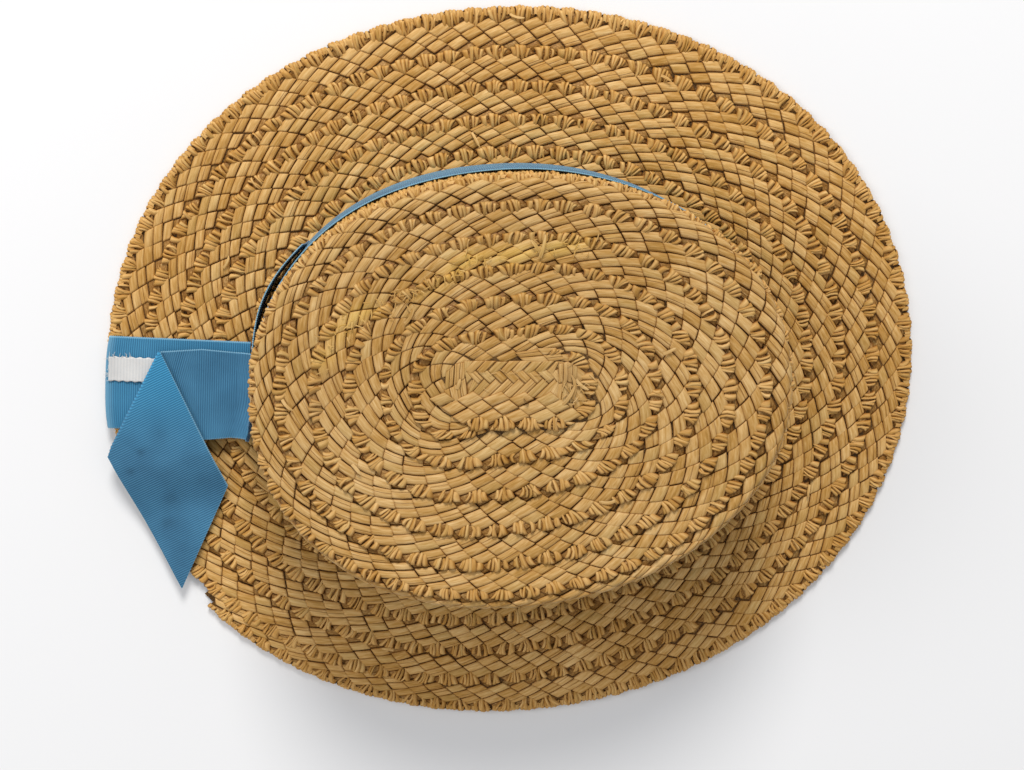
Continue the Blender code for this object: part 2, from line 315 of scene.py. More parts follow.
class Piece:
    """Gathers grids of points into one mesh, with attributes for its material at each point."""

    def __init__(self, name):
        self.name = name
        self.points, self.faces, self.strand, self.tone, self.across = [], [], [], [], []
        self.count = 0

    def add(self, points, faces, strand, tone, across):
        self.points.append(points.reshape(-1, 3))
        self.faces.append(faces.reshape(-1, 4) + self.count)
        self.strand.append(np.broadcast_to(strand, points.shape[:-1] + (2,)).reshape(-1, 2))
        self.tone.append(np.broadcast_to(tone, points.shape[:-1] + (4,)).reshape(-1, 4))
        self.across.append(np.broadcast_to(across, points.shape[:-1]).ravel())
        self.count += points.size // 3

    def grids(self, points, strand, tone, across):
        """points is (patches, rows, columns, 3). strand is in mm, tone four numbers, across a share."""
        patches, rows, columns = points.shape[:3]
        index = np.arange(patches * rows * columns).reshape(patches, rows, columns)
        near, far = index[:, :-1], index[:, 1:]
        quads = np.stack([near[..., :-1], near[..., 1:], far[..., 1:], far[..., :-1]], axis=-1)
        self.add(points, quads, strand, tone, across)

    def straws(self, points, along, width, kind, edge, across):
        """One patch for each straw: its grain in mm starts at a random place, and edge is 0 where it dips,
        where the material paints shade.
        """
        shape = (len(points), 1, 1)
        strand = joined(along + GRAIN_LENGTH * RNG.random(shape), width + GRAIN_WIDTH * RNG.random(shape))
        self.grids(points, strand, joined(RNG.random(shape), RNG.random(shape), kind, edge), across)

    def build(self, material, slot, node=None):
        points = np.concatenate(self.points)
        if slot == "straw_plait":
            points = pressed(points)
        faces = np.concatenate(self.faces)
        mesh = bpy.data.meshes.new(self.name)
        mesh.vertices.add(len(points))
        mesh.vertices.foreach_set("co", ((points + SHIFT) * MM).astype(np.float32).ravel())
        mesh.loops.add(faces.size)
        mesh.loops.foreach_set("vertex_index", faces.astype(np.int32).ravel())
        mesh.polygons.add(len(faces))
        mesh.polygons.foreach_set("loop_start", np.arange(0, faces.size, 4, dtype=np.int32))
        mesh.polygons.foreach_set("use_smooth", np.ones(len(faces), bool))
        mesh.update(calc_edges=True)
        strand = mesh.uv_layers.new(name="strand")
        strand.data.foreach_set("uv", np.concatenate(self.strand)[faces.ravel()].astype(np.float32).ravel())
        tone = mesh.attributes.new("tone", "FLOAT_COLOR", "POINT")
        tone.data.foreach_set("color", np.concatenate(self.tone).astype(np.float32).ravel())
        marks = mesh.attributes.new("marks", "FLOAT_VECTOR", "POINT")
        values = joined(worn(points), np.concatenate(self.across), stained(points))
        marks.data.foreach_set("vector", values.astype(np.float32).ravel())
        mesh.validate()
        mesh.materials.append(material)
        piece = bpy.data.objects.new(self.name, mesh)
        bpy.context.scene.collection.objects.link(piece)
        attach(piece, "root")
        if node:
            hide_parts(node)
        return piece


# A float's points along and across it, and how far each one drops towards its tucked edges
FINE = {"a": (0.0, 0.03, 0.12, 0.5, 0.88, 0.97, 1.0), "drop_a": (-1.0, -0.15, 0.0, 0.0, 0.0, -0.22, -1.0),
        "b": (0.0, 0.05, 0.22, 0.5, 0.78, 0.95, 1.0), "drop_b": (-1.0, -0.15, 0.0, 0.0, 0.0, -0.15, -1.0)}
COARSE = {"a": (0.0, 0.08, 0.5, 0.92, 1.0), "drop_a": (-1.0, -0.1, 0.0, -0.1, -1.0),
          "b": (0.0, 0.14, 0.86, 1.0), "drop_b": (-1.0, -0.1, -0.1, -1.0)}


def row_slide(columns):
    """How far each row slides along the plait: most at the front, where the floats are nearly diamonds."""
    turns = turns_at(columns * REPEAT)
    return SLIDE_MEAN + SLIDE_SWING * np.cos(coil_angle(turns)) + SLIDE_RIPPLE * np.sin(RIPPLES * turns)


def lattice(columns, row, a, b):
    """Coil coordinates of a share (a, b) of the float in a row of a column of the plait."""
    slide = row_slide(columns)
    step = np.where(outer_line(turns_at(columns * REPEAT)) < TIP_END, TIP_ROW_STEP, ROW_STEP)
    along = columns * REPEAT + (row + b) * slide + a * (REPEAT - STAGGER * slide)
    inward = FIRST_ROW + (row + b) * step - a * STAGGER * step
    return along, inward


# Floats: how deep they are tucked on the tip and elsewhere, how far the linking rows beside them lie below
# them, and the share of long ones. A pair gives the least and the spread of a random size.
TIP_TUCK, TUCK = 0.42, 0.68
INNER_LINK, OUTER_LINK = -0.45, -0.3
LONG_SHARE, LONG_GAP, LONG_RISE = 0.3, -0.05, 0.12
END_GAP, SIDE_GAP = (0.002, 0.014), (0.002, 0.02)
ARCH, DOME, LIFTED_TIP = (0.12, 0.10), (0.22, 0.16), (0.25, 0.25)
FLOAT_LENGTH, FLOAT_WIDTH = 7.0, 3.6


def float_grid(detail):
    """A float's shares along and across, and its drop at each point."""
    return down(detail["a"]), over(detail["b"]), np.minimum(down(detail["drop_a"]), over(detail["drop_b"]))


def add_floats(piece, columns, rows, detail=FINE, lay=coil_point, under=False):
    """Slanting rows of straw floats for each repeat, each domed, tucked under at its ends and given painted
    shade where it dips.
    """
    a, b, drop = float_grid(detail)
    shape = (len(columns), 1, 1)
    columns = columns.reshape(shape)
    tuck = np.where(outer_line(turns_at(columns * REPEAT)) < TIP_END, TIP_TUCK, TUCK)
    taper = 1.0 - 0.05 * np.abs(2.0 * a - 1.0) ** 4
    for row in rows:
        kind, sunk = (FLOAT, 0.0) if 0 <= row < ROWS else (LINK, INNER_LINK if row < 0 else OUTER_LINK)
        long_one = RNG.random(shape) < LONG_SHARE
        gap_a = np.where(long_one, LONG_GAP, sized(END_GAP, shape))
        gap_b = sized(SIDE_GAP, shape)
        a_in = gap_a + a * (1.0 - 2.0 * gap_a)
        skew = RNG.normal(0.0, 0.04, shape) * (a - 0.5)
        b_in = 0.5 + (gap_b + b * (1.0 - 2.0 * gap_b) - 0.5) * taper + skew
        along, inward = lattice(columns, row, a_in, b_in)
        along = along + RNG.normal(0.0, 0.12, shape)
        inward = inward + RNG.normal(0.0, 0.10, shape)
        arch = sized(ARCH, shape) * (1.0 - (2.0 * a - 1.0) ** 2)
        dome = sized(DOME, shape) * (1.0 - (2.0 * b - 1.0) ** 2)
        lean = RNG.normal(0.0, 0.14, shape) * (0.5 - b) + RNG.normal(0.05, 0.10, shape) * (0.5 - a)
        tip = sized(LIFTED_TIP, shape) * (1.0 - a) * b * (row == ROWS - 1)
        height = sunk + base_height(inward) + arch + dome + lean + tip + LONG_RISE * long_one + tuck * drop
        points = lay(along, inward, height, under)
        piece.straws(points, a * FLOAT_LENGTH, b * FLOAT_WIDTH, kind, drop + 1.0, b)


# A shell's pleats: place across the fan, width and height, from its broad first lobe to its last fold.
# A pleat's points run from its inner end (s = 0) to its outer one, and across it.
PLEATS = ((-0.80, 2.6, 0.85), (-0.20, 1.9, 0.9), (0.22, 1.8, 1.0), (0.60, 1.7, 0.9), (0.96, 1.8, 0.6))
FINE_PLEAT = {"s": (0.0, 0.12, 0.4, 0.75, 0.93, 1.0), "rise": (-1.3, -0.1, 0.8, 1.0, 0.75, -0.6),
              "across": (-0.5, -0.38, -0.14, 0.12, 0.37, 0.5),
              "section": (-1.0, -0.25, 0.32, 0.38, -0.05, -1.0)}
COARSE_PLEAT = {"s": (0.0, 0.4, 1.0), "rise": (-0.4, 0.8, 0.4), "across": (-0.5, 0.0, 0.5),
                "section": (-0.8, 0.2, -0.8)}
FAN_OUTER, FAN_INNER, FAN_DEPTH = 3.5, 2.6, 5.7
PLEAT_LENGTH, PLEAT_WIDTH = 4.5, 1.6


def add_shells(piece, columns, detail=FINE_PLEAT, lay=coil_point, under=False):
    """A fan of folded straw at the outer edge of each repeat: pleats that run in to a point."""
    shape = (len(columns), 1, 1)
    lean = RNG.normal(0.1, 0.4, shape)
    size = 1.0 + RNG.normal(0.0, 0.07, shape)
    tall = 1.0 + RNG.normal(0.0, 0.12, shape)
    s, rise = down(detail["s"]), down(detail["rise"])
    across, section = over(detail["across"]), over(detail["section"])
    for place, breadth, top in PLEATS:
        outer = place * FAN_OUTER * size + RNG.normal(0.0, 0.28, shape)
        inner = place * FAN_INNER + lean + RNG.normal(0.0, 0.5, shape)
        outer_in = -0.6 + 1.2 * place ** 2 + 0.45 * RNG.random(shape)
        inner_in = FAN_DEPTH - 1.1 * abs(place) + RNG.normal(0.0, 0.35, shape)
        width = mix(0.78, 1.0, s) * breadth * (1.0 + RNG.normal(0.0, 0.16, shape))
        bend = RNG.normal(0.0, 0.45, shape) * np.sin(np.pi * s)
        along = columns[:, None, None] * REPEAT + mix(inner, outer, s) + bend + across * width
        inward = mix(inner_in, outer_in, s) + 0.25 * across * place
        crest = tall * top * (0.6 + 0.65 * RNG.random(shape))
        slope = RNG.normal(0.0, 0.5, shape) * across
        height = base_height(inward) + crest * rise + section + slope
        piece.straws(lay(along, inward, height, under), s * PLEAT_LENGTH, across * PLEAT_WIDTH, SHELL,
                     np.clip(section + 1.0, 0.0, 1.0), across + 0.5)


# The section of a pleat that turns over the brim's edge: distance in, and height
RIM_SECTION = np.array([(2.6, 0.4), (1.1, 0.65), (0.15, 0.15), (-0.12, -0.9), (0.0, -2.1), (0.5, -2.4),
                        (1.6, -2.4)])
RIM_PITCH, RIM_WIDTH, RIM_SCALLOP = 1.5, 1.55, 0.6
RIM_BULGE, RIM_DIP = (0.1, 0.3), -0.55


def add_rim(piece, start, end):
    """Where the outermost round's pleats turn over the brim's edge, down to the floor."""
    centres = np.arange(start, end, RIM_PITCH)
    shape = (len(centres), 1, 1)
    centres = (centres + RNG.normal(0.0, 0.2, len(centres))).reshape(shape)
    inward, height = down(RIM_SECTION[:, 0]), down(RIM_SECTION[:, 1])
    across = over(FINE_PLEAT["across"])
    section = np.maximum(over(FINE_PLEAT["section"]), RIM_DIP)
    slant = RNG.normal(0.3, 0.35, shape) * (height + 1.3) / 2.0
    bulge = sized(RIM_BULGE, shape) + RIM_SCALLOP * np.cos(np.pi * centres / REPEAT) ** 2
    points = coil_point(centres + RIM_WIDTH * across + slant, inward - bulge - 0.5 * section,
                        height + 0.0 * across)
    piece.straws(points, height, across * RIM_PITCH, SHELL, np.clip(section + 0.9, 0.0, 1.0), across + 0.5)


# The under layer's section: distance in past its outer edge, and how far it drops
BASE_INWARD = (6.0, 10.0, 13.0, 16.0)
BASE_DROP = np.array([-1.6, -1.5, -1.2, -1.05, -0.9, -0.9])
UNDER_DROP = -0.5


def add_base(piece, start, end, under=False, lay=coil_point, pitch=1.6, outer=2.6, depth=1.0):
    """The plait's under layer, a continuous strip seen as the dim recess between the floats and shells,
    coloured dark as painted shade.
    """
    steps = max(int((end - start) / pitch), 2)
    along = down(np.linspace(start, end, steps))
    inward = over([outer, outer + 0.2, *BASE_INWARD])
    drop = UNDER_DROP if under else depth * BASE_DROP
    height = base_height(inward) + drop + 0.10 * np.sin(2.0 * np.pi * (along / 3.1 + inward / 5.0))
    points = lay(along + 0.0 * inward, inward + 0.0 * along, height, under)
    piece.grids(points, joined(along, inward), BASE_TONE, 0.0)


def add_patches(piece, corners, height):
    """Flat straws in the centre, each from its four corners in the centre's own x, and y down its face."""
    c = np.asarray(corners, float)[:, None, None, :, :]
    shape = (len(corners), 1, 1)
    a, b, drop = float_grid(FINE)
    flat = mix(mix(c[..., 0, :], c[..., 1, :], a[..., None]), mix(c[..., 3, :], c[..., 2, :], a[..., None]),
               b[..., None])
    middle = c.mean(axis=-2)
    flat = middle + (flat - middle) * PATCH_SIZE
    rise = sized(PATCH_ARCH, shape) * (1.0 - (2.0 * a - 1.0) ** 2) + 0.14 * (0.5 - b) + PATCH_TUCK * drop
    points = centre_point(CENTRE_LENGTH - flat[..., 0], CENTRE_DEPTH - flat[..., 1],
                          height + rise + RNG.normal(0.0, 0.03, shape))
    piece.straws(points, a * PATCH_LENGTH, b * PATCH_WIDTH, FLOAT, drop + 1.0, b)


# Patches of straw: their size beside their corners', arch, depth of tuck, and the grain's length and width
PATCH_SIZE, PATCH_ARCH, PATCH_TUCK = 0.985, (0.10, 0.06), 0.45
PATCH_LENGTH, PATCH_WIDTH = 6.0, 3.0

# The herringbone in the middle: its pitch, and the corners of one straw of each row
CHEVRON, CHEVRON_START = 4.25, 0.4
CHEVRON_FOLD = ((3.3, 0.0), (0.0, 3.6), (2.1, 5.4), (7.5, 0.0))
CHEVRON_UPPER = ((0.0, 3.3), (5.2, 8.4), (7.3, 6.3), (4.25, 3.3))
CHEVRON_LOWER = ((7.3, 6.3), (-0.2, 13.6), (4.05, 13.6), (9.45, 8.4))
CHEVRON_GROUND = ((0.2, 0.1), (34.7, 0.1), (34.7, 13.6), (1.1, 13.6))

# Straws that show between the straight length and the first turn round it, by their four corners
CENTRE_FILL = np.array([
    ((1.0, 0.2), (0.6, 6.5), (-3.4, 9.5), (-3.0, 1.0)), ((-3.2, 1.4), (-3.6, 9.0), (-6.6, 11.0), (-6.2, 4.0)),
    ((0.8, 6.0), (1.6, 13.0), (-2.4, 15.5), (-3.6, 9.0)),
    ((18.5, -3.0), (27.0, -4.4), (31.5, 0.5), (22.0, 0.6)),
    ((26.5, -4.6), (33.5, -4.8), (37.0, -0.6), (31.0, 0.4)),
    ((34.4, 1.0), (34.6, 8.5), (38.0, 7.5), (38.2, 0.0)),
    ((38.0, 0.2), (37.8, 8.0), (41.2, 8.5), (41.4, 2.0)),
    ((34.4, 8.2), (33.6, 15.5), (37.2, 17.0), (38.2, 7.6)),
    ((38.0, 7.8), (36.8, 16.5), (40.0, 15.0), (41.4, 8.4)),
    ((-3.0, 9.0), (-1.8, 15.5), (-5.5, 16.5), (-6.9, 10.5)),
])
LAYERS = ((CHEVRON_LOWER, 0.0), (CHEVRON_UPPER, 0.06), (CHEVRON_FOLD, 0.16))
GROUND_LAYER, FILL_LAYER, BASE_LAYER = -0.6, -0.15, -1.3
CENTRE_OFFSET = 0.15


def add_centre(piece):
    """The straight length that the coil starts from: a folded top, a row of chevrons, floats and shells."""
    x = (CHEVRON * np.arange(-2, 8) + CHEVRON_START)[:, None]
    add_patches(piece, (CHEVRON_GROUND,), GROUND_LAYER)
    for row, height in LAYERS:
        corners = np.array(row)[None] + joined(x, 0.0) + RNG.normal(0.0, 0.12, (len(x), 1, 2))
        left = 0.2 + 0.07 * corners[..., 1]
        corners[..., 0] = np.clip(corners[..., 0], left, CENTRE_LENGTH - 0.3)
        wide = np.ptp(corners[:, :, 0], axis=1) > 0.8
        add_patches(piece, corners[wide], height)
    first, second, third, fourth = np.moveaxis(CENTRE_FILL, 1, 0)
    near, far = 0.5 * (first + fourth), 0.5 * (second + third)
    halves = np.concatenate([np.stack([first, second, far, near], axis=1),
                             np.stack([near, far, third, fourth], axis=1)])
    add_patches(piece, halves, FILL_LAYER)
    add_floats(piece, np.arange(-1, 4) + CENTRE_OFFSET, range(ROWS), lay=centre_level)
    add_shells(piece, np.arange(0, 4) + CENTRE_OFFSET, lay=centre_level)
    add_base(piece, -4.0, CENTRE_LENGTH + 4.0, lay=centre_point)
    x, y = np.meshgrid(np.linspace(-8.0, CENTRE_LENGTH + 15.0, 8), np.linspace(-5.0, CENTRE_DEPTH + 3.0, 8))
    points = centre_point(CENTRE_LENGTH - x, CENTRE_DEPTH - y, BASE_LAYER + 0.0 * x)[None]
    piece.grids(points, joined(x, y)[None], BASE_TONE, 0.0)


def add_straws(piece, straws, width, curl=0.5):
    """Loose ends of straw: rows of x, y, ground height, heading in degrees, length, rise and paleness."""
    s = down(np.linspace(0.0, 1.0, 6))
    across = over([-0.5, 0.0, 0.5])
    x, y, ground, heading, length, rise, pale = (v.reshape(-1, 1, 1) for v in np.asarray(straws, float).T)
    heading = np.radians(heading) + curl * RNG.normal(0.0, 0.5, x.shape) * s
    cos, sin = np.cos(heading), np.sin(heading)
    taper = np.minimum(1.0, 2.5 * (1.15 - s)) * width
    points = joined(x + length * s * cos - across * taper * sin, y + length * s * sin + across * taper * cos,
                    ground + rise * np.sin(2.2 * s) + 0.1 * (1.0 - 4.0 * across ** 2))
    strand = joined(length * s + 50.0 * x, across * width + 70.0 * y)
    piece.grids(points, strand, joined(pale, 0.5, FLOAT, 1.0), across + 0.5)


class Shader:
    """A material's node tree, with short ways to add and link its nodes."""

    def __init__(self, name, roughness, specular):
        self.material = bpy.data.materials.new(name)
        self.material.use_nodes = True
        self.tree = self.material.node_tree
        self.surface = self.tree.nodes["Principled BSDF"]
        self.surface.inputs["Roughness"].default_value = roughness
        self.surface.inputs["Specular IOR Level"].default_value = specular

    def give(self, socket, value):
        if isinstance(value, bpy.types.NodeSocket):
            self.tree.links.new(value, socket)
        else:
            socket.default_value = value

    def node(self, kind, values=None, **settings):
        made = self.tree.nodes.new(kind)
        for key, value in settings.items():
            setattr(made, key, value)
        for key, value in (values or {}).items():
            self.give(made.inputs[key], value)
        return made

    def math(self, operation, first, second=0.0):
        return self.node("ShaderNodeMath", {0: first, 1: second}, operation=operation).outputs[0]

    times = partialmethod(math, "MULTIPLY")
    plus = partialmethod(math, "ADD")
    minus = partialmethod(math, "SUBTRACT")
    above = partialmethod(math, "GREATER_THAN")
    below = partialmethod(math, "LESS_THAN")

    def clamp(self, value):
        return self.node("ShaderNodeClamp", {0: value}).outputs[0]

    def mix(self, share, first, second, blend="MIX"):
        values = {0: share, 6: first, 7: second}
        return self.node("ShaderNodeMix", values, data_type="RGBA", blend_type=blend).outputs[2]

    def shade(self, share, colour, by):
        return self.mix(share, colour, by, "MULTIPLY")

    def noise(self, vector, stretch, detail):
        scaled = self.node("ShaderNodeMapping", {"Vector": vector, "Scale": stretch}).outputs[0]
        values = {"Vector": scaled, "Scale": 1.0, "Detail": detail}
        return self.node("ShaderNodeTexNoise", values).outputs["Fac"]

    def ramp(self, value, stops):
        made = self.node("ShaderNodeValToRGB", {"Fac": value})
        elements = made.color_ramp.elements
        while len(elements) < len(stops):
            elements.new(0.5)
        for element, (position, colour) in zip(elements, stops):
            element.position = position
            element.color = colour + (1.0,)
        return made.outputs["Color"]

    def tone(self):
        """The mesh's tone attribute, as its three colours and its alpha."""
        attribute = self.node("ShaderNodeAttribute", attribute_name="tone")
        split = self.node("ShaderNodeSeparateColor", {0: attribute.outputs["Color"]})
        return list(split.outputs) + [attribute.outputs["Alpha"]]

    def marks(self):
        """The marks attribute: wear, share across the straw, and stain."""
        attribute = self.node("ShaderNodeAttribute", attribute_name="marks")
        return self.node("ShaderNodeSeparateXYZ", {0: attribute.outputs["Vector"]}).outputs

    def strand(self):
        return self.node("ShaderNodeUVMap", uv_map="strand").outputs[0]

    def finish(self, colour, height, strength, distance):
        bump = self.node("ShaderNodeBump", {"Strength": strength, "Distance": distance, "Height": height})
        self.give(self.surface.inputs["Base Color"], colour)
        self.give(self.surface.inputs["Normal"], bump.outputs[0])
        return self.material


# Straw, from its dark grain to its pale, its other colours, and the height above which the tip is duller
STRAW_STOPS = (
    (0.26, (0.28, 0.135, 0.020)),
    (0.42, (0.44, 0.230, 0.055)),
    (0.56, (0.575, 0.345, 0.122)),
    (0.74, (0.75, 0.510, 0.230)),
)
# Painted shade for the under layer in the recesses, from dark to less dark.
RECESS_PAINTED_SHADE_STOPS = ((0.38, (0.060, 0.030, 0.008)), (0.62, (0.240, 0.145, 0.050)))
OLIVE, YELLOW, WORN_BROWN = (0.40, 0.33, 0.13, 1.0), (0.74, 0.48, 0.08, 1.0), (0.36, 0.22, 0.09, 1.0)
# The shells' own colour, then painted shade for the linking rows that lie low in the recess.
SHELL_SHADE, LOW_ROW_PAINTED_SHADE = (1.0, 0.94, 0.80, 1.0), (0.50, 0.42, 0.30, 1.0)
# The first darkens the split between two straws; the second is painted shade where straws dip under others.
SPLIT_SHADE, DIP_PAINTED_SHADE = (0.42, 0.26, 0.12, 1.0), (0.42, 0.20, 0.03, 1.0)
TIP_SHADE = (0.87, 0.89, 0.94, 1.0)
TIP_LINE = 82.0


def straw_material():
    s = Shader("straw", 0.5, 0.14)
    random, second, kind, edge = s.tone()
    wear, across, stain = s.marks()
    coarse = s.noise(s.strand(), (0.16, 1.35, 1.0), 3.0)
    fine = s.noise(s.strand(), (0.30, 4.4, 1.0), 2.0)
    grit = s.noise(s.strand(), (1.1, 2.2, 1.0), 4.0)
    coords = s.node("ShaderNodeTexCoord").outputs["Object"]
    cloud = s.noise(coords, (30.0, 30.0, 30.0), 3.0)
    value = s.times(random, 0.13)
    for part, share in ((coarse, 0.52), (fine, 0.22), (cloud, 0.20)):
        value = s.plus(value, s.times(part, share))
    colour = s.ramp(s.minus(value, 0.03), STRAW_STOPS)
    colour = s.mix(s.times(s.above(second, 0.85), 0.14), colour, OLIVE)
    in_shell = s.times(s.above(kind, 0.75), s.below(kind, 1.5))
    colour = s.shade(s.times(in_shell, 0.55), colour, SHELL_SHADE)
    # Painted shade on the linking rows low in the recess, mottled by the grit noise.
    in_link = s.times(s.above(kind, 0.25), s.below(kind, 0.75))
    in_link = s.times(in_link, s.clamp(s.minus(2.8, s.times(grit, 3.8))))
    colour = s.shade(in_link, colour, LOW_ROW_PAINTED_SHADE)
    # The under layer takes the painted shade of the recess, mottled.
    colour = s.mix(s.above(kind, 1.5), colour, s.ramp(grit, RECESS_PAINTED_SHADE_STOPS))
    split = s.math("ABSOLUTE", s.minus(across, s.plus(s.times(random, 0.5), 0.25)))
    line = s.times(s.clamp(s.minus(1.0, s.times(split, 15.0))), s.below(second, 0.25))
    line = s.times(line, s.below(kind, 0.75))
    colour = s.shade(s.times(line, 0.7), colour, SPLIT_SHADE)
    on_tip = s.above(s.node("ShaderNodeSeparateXYZ", {0: coords}).outputs[2], TIP_LINE * MM)
    colour = s.shade(on_tip, colour, TIP_SHADE)
    blotch = s.clamp(s.minus(s.times(cloud, 3.0), 1.1))
    colour = s.mix(s.times(s.times(stain, blotch), 0.65), colour, YELLOW)
    colour = s.mix(s.times(wear, 0.45), colour, WORN_BROWN)
    # Painted shade where straws dip under their neighbours and in the slits between pleats.
    colour = s.shade(s.times(s.minus(1.0, edge), 0.92), colour, DIP_PAINTED_SHADE)
    height = s.plus(s.times(coarse, 0.65), s.times(fine, 0.35))
    return s.finish(colour, s.minus(height, line), 0.5, 0.0004)


# Painted shade for the grooves between the ribs and for the tail's creases.
GROOVE_PAINTED_SHADE, CREASE_PAINTED_SHADE = (0.36, 0.44, 0.52, 1.0), (0.42, 0.46, 0.48, 1.0)


def cloth_material(name, dark, light, pale, bright, rib):
    """Ribbed cloth: painted shade darkens its grooves and creases, its selvedges are pale, painted highlight
    pales some stretches, and its ply is clouded from dark to light.
    """
    s = Shader(name, 0.68, 0.25)
    selvedge, crest, crease_shade, tint = s.tone()
    coords = s.node("ShaderNodeTexCoord").outputs["Object"]
    cloud = s.noise(coords, (48.0, 48.0, 48.0), 3.0)
    threads = s.noise(s.strand(), (3.4, 5.0, 1.0), 2.0)
    value = s.plus(s.times(cloud, 0.7), s.times(threads, 0.3))
    colour = s.mix(tint, s.ramp(value, ((0.36, dark), (0.64, light))), bright)
    # Painted shade in the grooves between the ribs.
    colour = s.shade(s.times(s.minus(1.0, crest), rib), colour, GROOVE_PAINTED_SHADE)
    # Pale selvedges in their own colour, and painted highlight where the band's slack foot and the loop's
    # fold catch the light.
    colour = s.mix(s.times(selvedge, 0.75), colour, pale)
    # Painted shade in the tail's creases.
    colour = s.shade(crease_shade, colour, CREASE_PAINTED_SHADE)
    s.surface.inputs["Sheen Weight"].default_value = 0.2
    s.surface.inputs["Sheen Roughness"].default_value = 0.4
    return s.finish(colour, threads, 0.35, 0.0002)


# Ribbon: its cross ribs, and the thin toothed selvedge at each side
RIB_PITCH = 0.88
RIB_RELIEF = 0.14
RIBBON_THICKNESS = 0.42
SERRATION = 0.13
SELVEDGE_SHARE = 0.012


def edged(count):
    """Shares across a ribbon, with narrow first and last steps for its selvedges."""
    return np.concatenate([[0.0], np.linspace(SELVEDGE_SHARE, 1.0 - SELVEDGE_SHARE, count - 2), [1.0]])


def ribbon(piece, centre, lengths, thickness=RIBBON_THICKNESS, relief=RIB_RELIEF, closed=False,
           selvedged=True, crease_shade=0.0, tint=0.0, painted_highlight=0.0):
    """Adds a closed sheet with ribbed faces, and returns its area. centre is (rows, columns, 3)."""
    rows, columns = centre.shape[:2]
    if closed:
        along = np.roll(centre, -1, axis=0) - np.roll(centre, 1, axis=0)
    else:
        along = np.gradient(centre, axis=0)
    sideways = unit(np.gradient(centre, axis=1))
    n = unit(np.cross(along, sideways))
    phase = 2.0 * np.pi * lengths / RIB_PITCH
    share = np.broadcast_to(edged(columns), (rows, columns))
    first, last = (share == 0.0) * selvedged, (share == 1.0) * selvedged
    beads = SERRATION * (1.0 + np.cos(phase))
    spread = centre + sideways * ((last * 1.0 - first * 1.0) * beads)[..., None]
    half = (0.5 * thickness + relief * np.cos(phase) * (1.0 - first - last))[..., None]
    ring = np.concatenate([spread + n * half, (spread - n * half)[:, ::-1]], axis=1)
    count = 2 * columns
    index = np.arange(rows * count).reshape(rows, count)
    here, there = (index, np.roll(index, -1, axis=0)) if closed else (index[:-1], index[1:])
    quads = np.stack([here, there, np.roll(there, -1, axis=1), np.roll(here, -1, axis=1)], axis=-1)
    faces = [quads.reshape(-1, 4)]
    if not closed:
        for row, order in ((index[0], (0, 1, 2, 3)), (index[-1], (3, 2, 1, 0))):
            left, right = row[:columns], row[columns:][::-1]
            cap = np.stack([left[:-1], left[1:], right[1:], right[:-1]], axis=-1)
            faces.append(cap[:, order])
    crest = 0.5 + 0.5 * np.cos(phase)
    face = joined(lengths, share * RIBBON_WIDTH, np.maximum(first, last) + painted_highlight, crest, crease_shade, tint)
    both = np.concatenate([face, face[:, ::-1]], axis=1)
    piece.add(ring, np.concatenate(faces), both[..., :2], both[..., 2:], 0.0)
    cells = np.cross(centre[1:, :-1] - centre[:-1, :-1], centre[:-1, 1:] - centre[:-1, :-1])
    return float(np.linalg.norm(cells, axis=-1).sum())


def resample(points, pitch):
    """Evenly spaced points along a path given by its corners, with the length to each."""
    points = np.asarray(points, float)
    far = np.concatenate([[0.0], np.cumsum(np.linalg.norm(np.diff(points, axis=0), axis=1))])
    lengths = np.linspace(0.0, far[-1], max(int(round(far[-1] / pitch)), 2) + 1)
    return np.stack([np.interp(lengths, far, column) for column in points.T], axis=-1), lengths


def finish_ribbon(piece, material, node):
    made = piece.build(material, "blue_ribbon", node)


# The band round the foot of the wall, slack at its foot on one side, and its end that stands off the wall
BAND_FOOT, BAND_TOP, BAND_CLEARANCE = 4.7, 41.7, 0.5
BAND_SLACK, SLACK_BEARING, BAND_STEPS = 1.6, math.radians(95.0), 3
END_START, END_STOP, END_CORNER = math.radians(168.5), math.radians(137.0), 7.0


def make_band(material):
    angles = np.linspace(0.0, 2.0 * np.pi, 4001)
    x, y = spread_oval(angles, BAND_CLEARANCE + WALL_FLARE + 0.0 * angles)
    far = np.concatenate([[0.0], np.cumsum(np.hypot(np.diff(x), np.diff(y)))])
    steps = int(round(far[-1] / RIB_PITCH)) * BAND_STEPS
    angle = np.interp(np.arange(steps) * far[-1] / steps, far, angles)[:, None]
    z = mix(BAND_TOP, BAND_FOOT, edged(5))[None, :]
    up = (z - BAND_FOOT) / RIBBON_WIDTH
    wave = 0.12 * np.sin(9.0 * angle + 1.0) * up
    slack = np.maximum(np.cos(angle - SLACK_BEARING), 0.0) * (1.0 - up)
    spread = WALL_FLARE * (1.0 - 0.25 * up) + BAND_CLEARANCE + wave + BAND_SLACK * slack
    centre = joined(*spread_oval(angle, spread), z)
    piece = Piece("band_ribbon")
    lengths = np.arange(steps)[:, None] * RIB_PITCH / BAND_STEPS + 0.0 * z
    # The band's slack foot near the bow is paled as painted highlight.
    area = ribbon(piece, centre, lengths, closed=True, painted_highlight=0.5 * slack)
    finish_ribbon(piece, material, "hat_band")


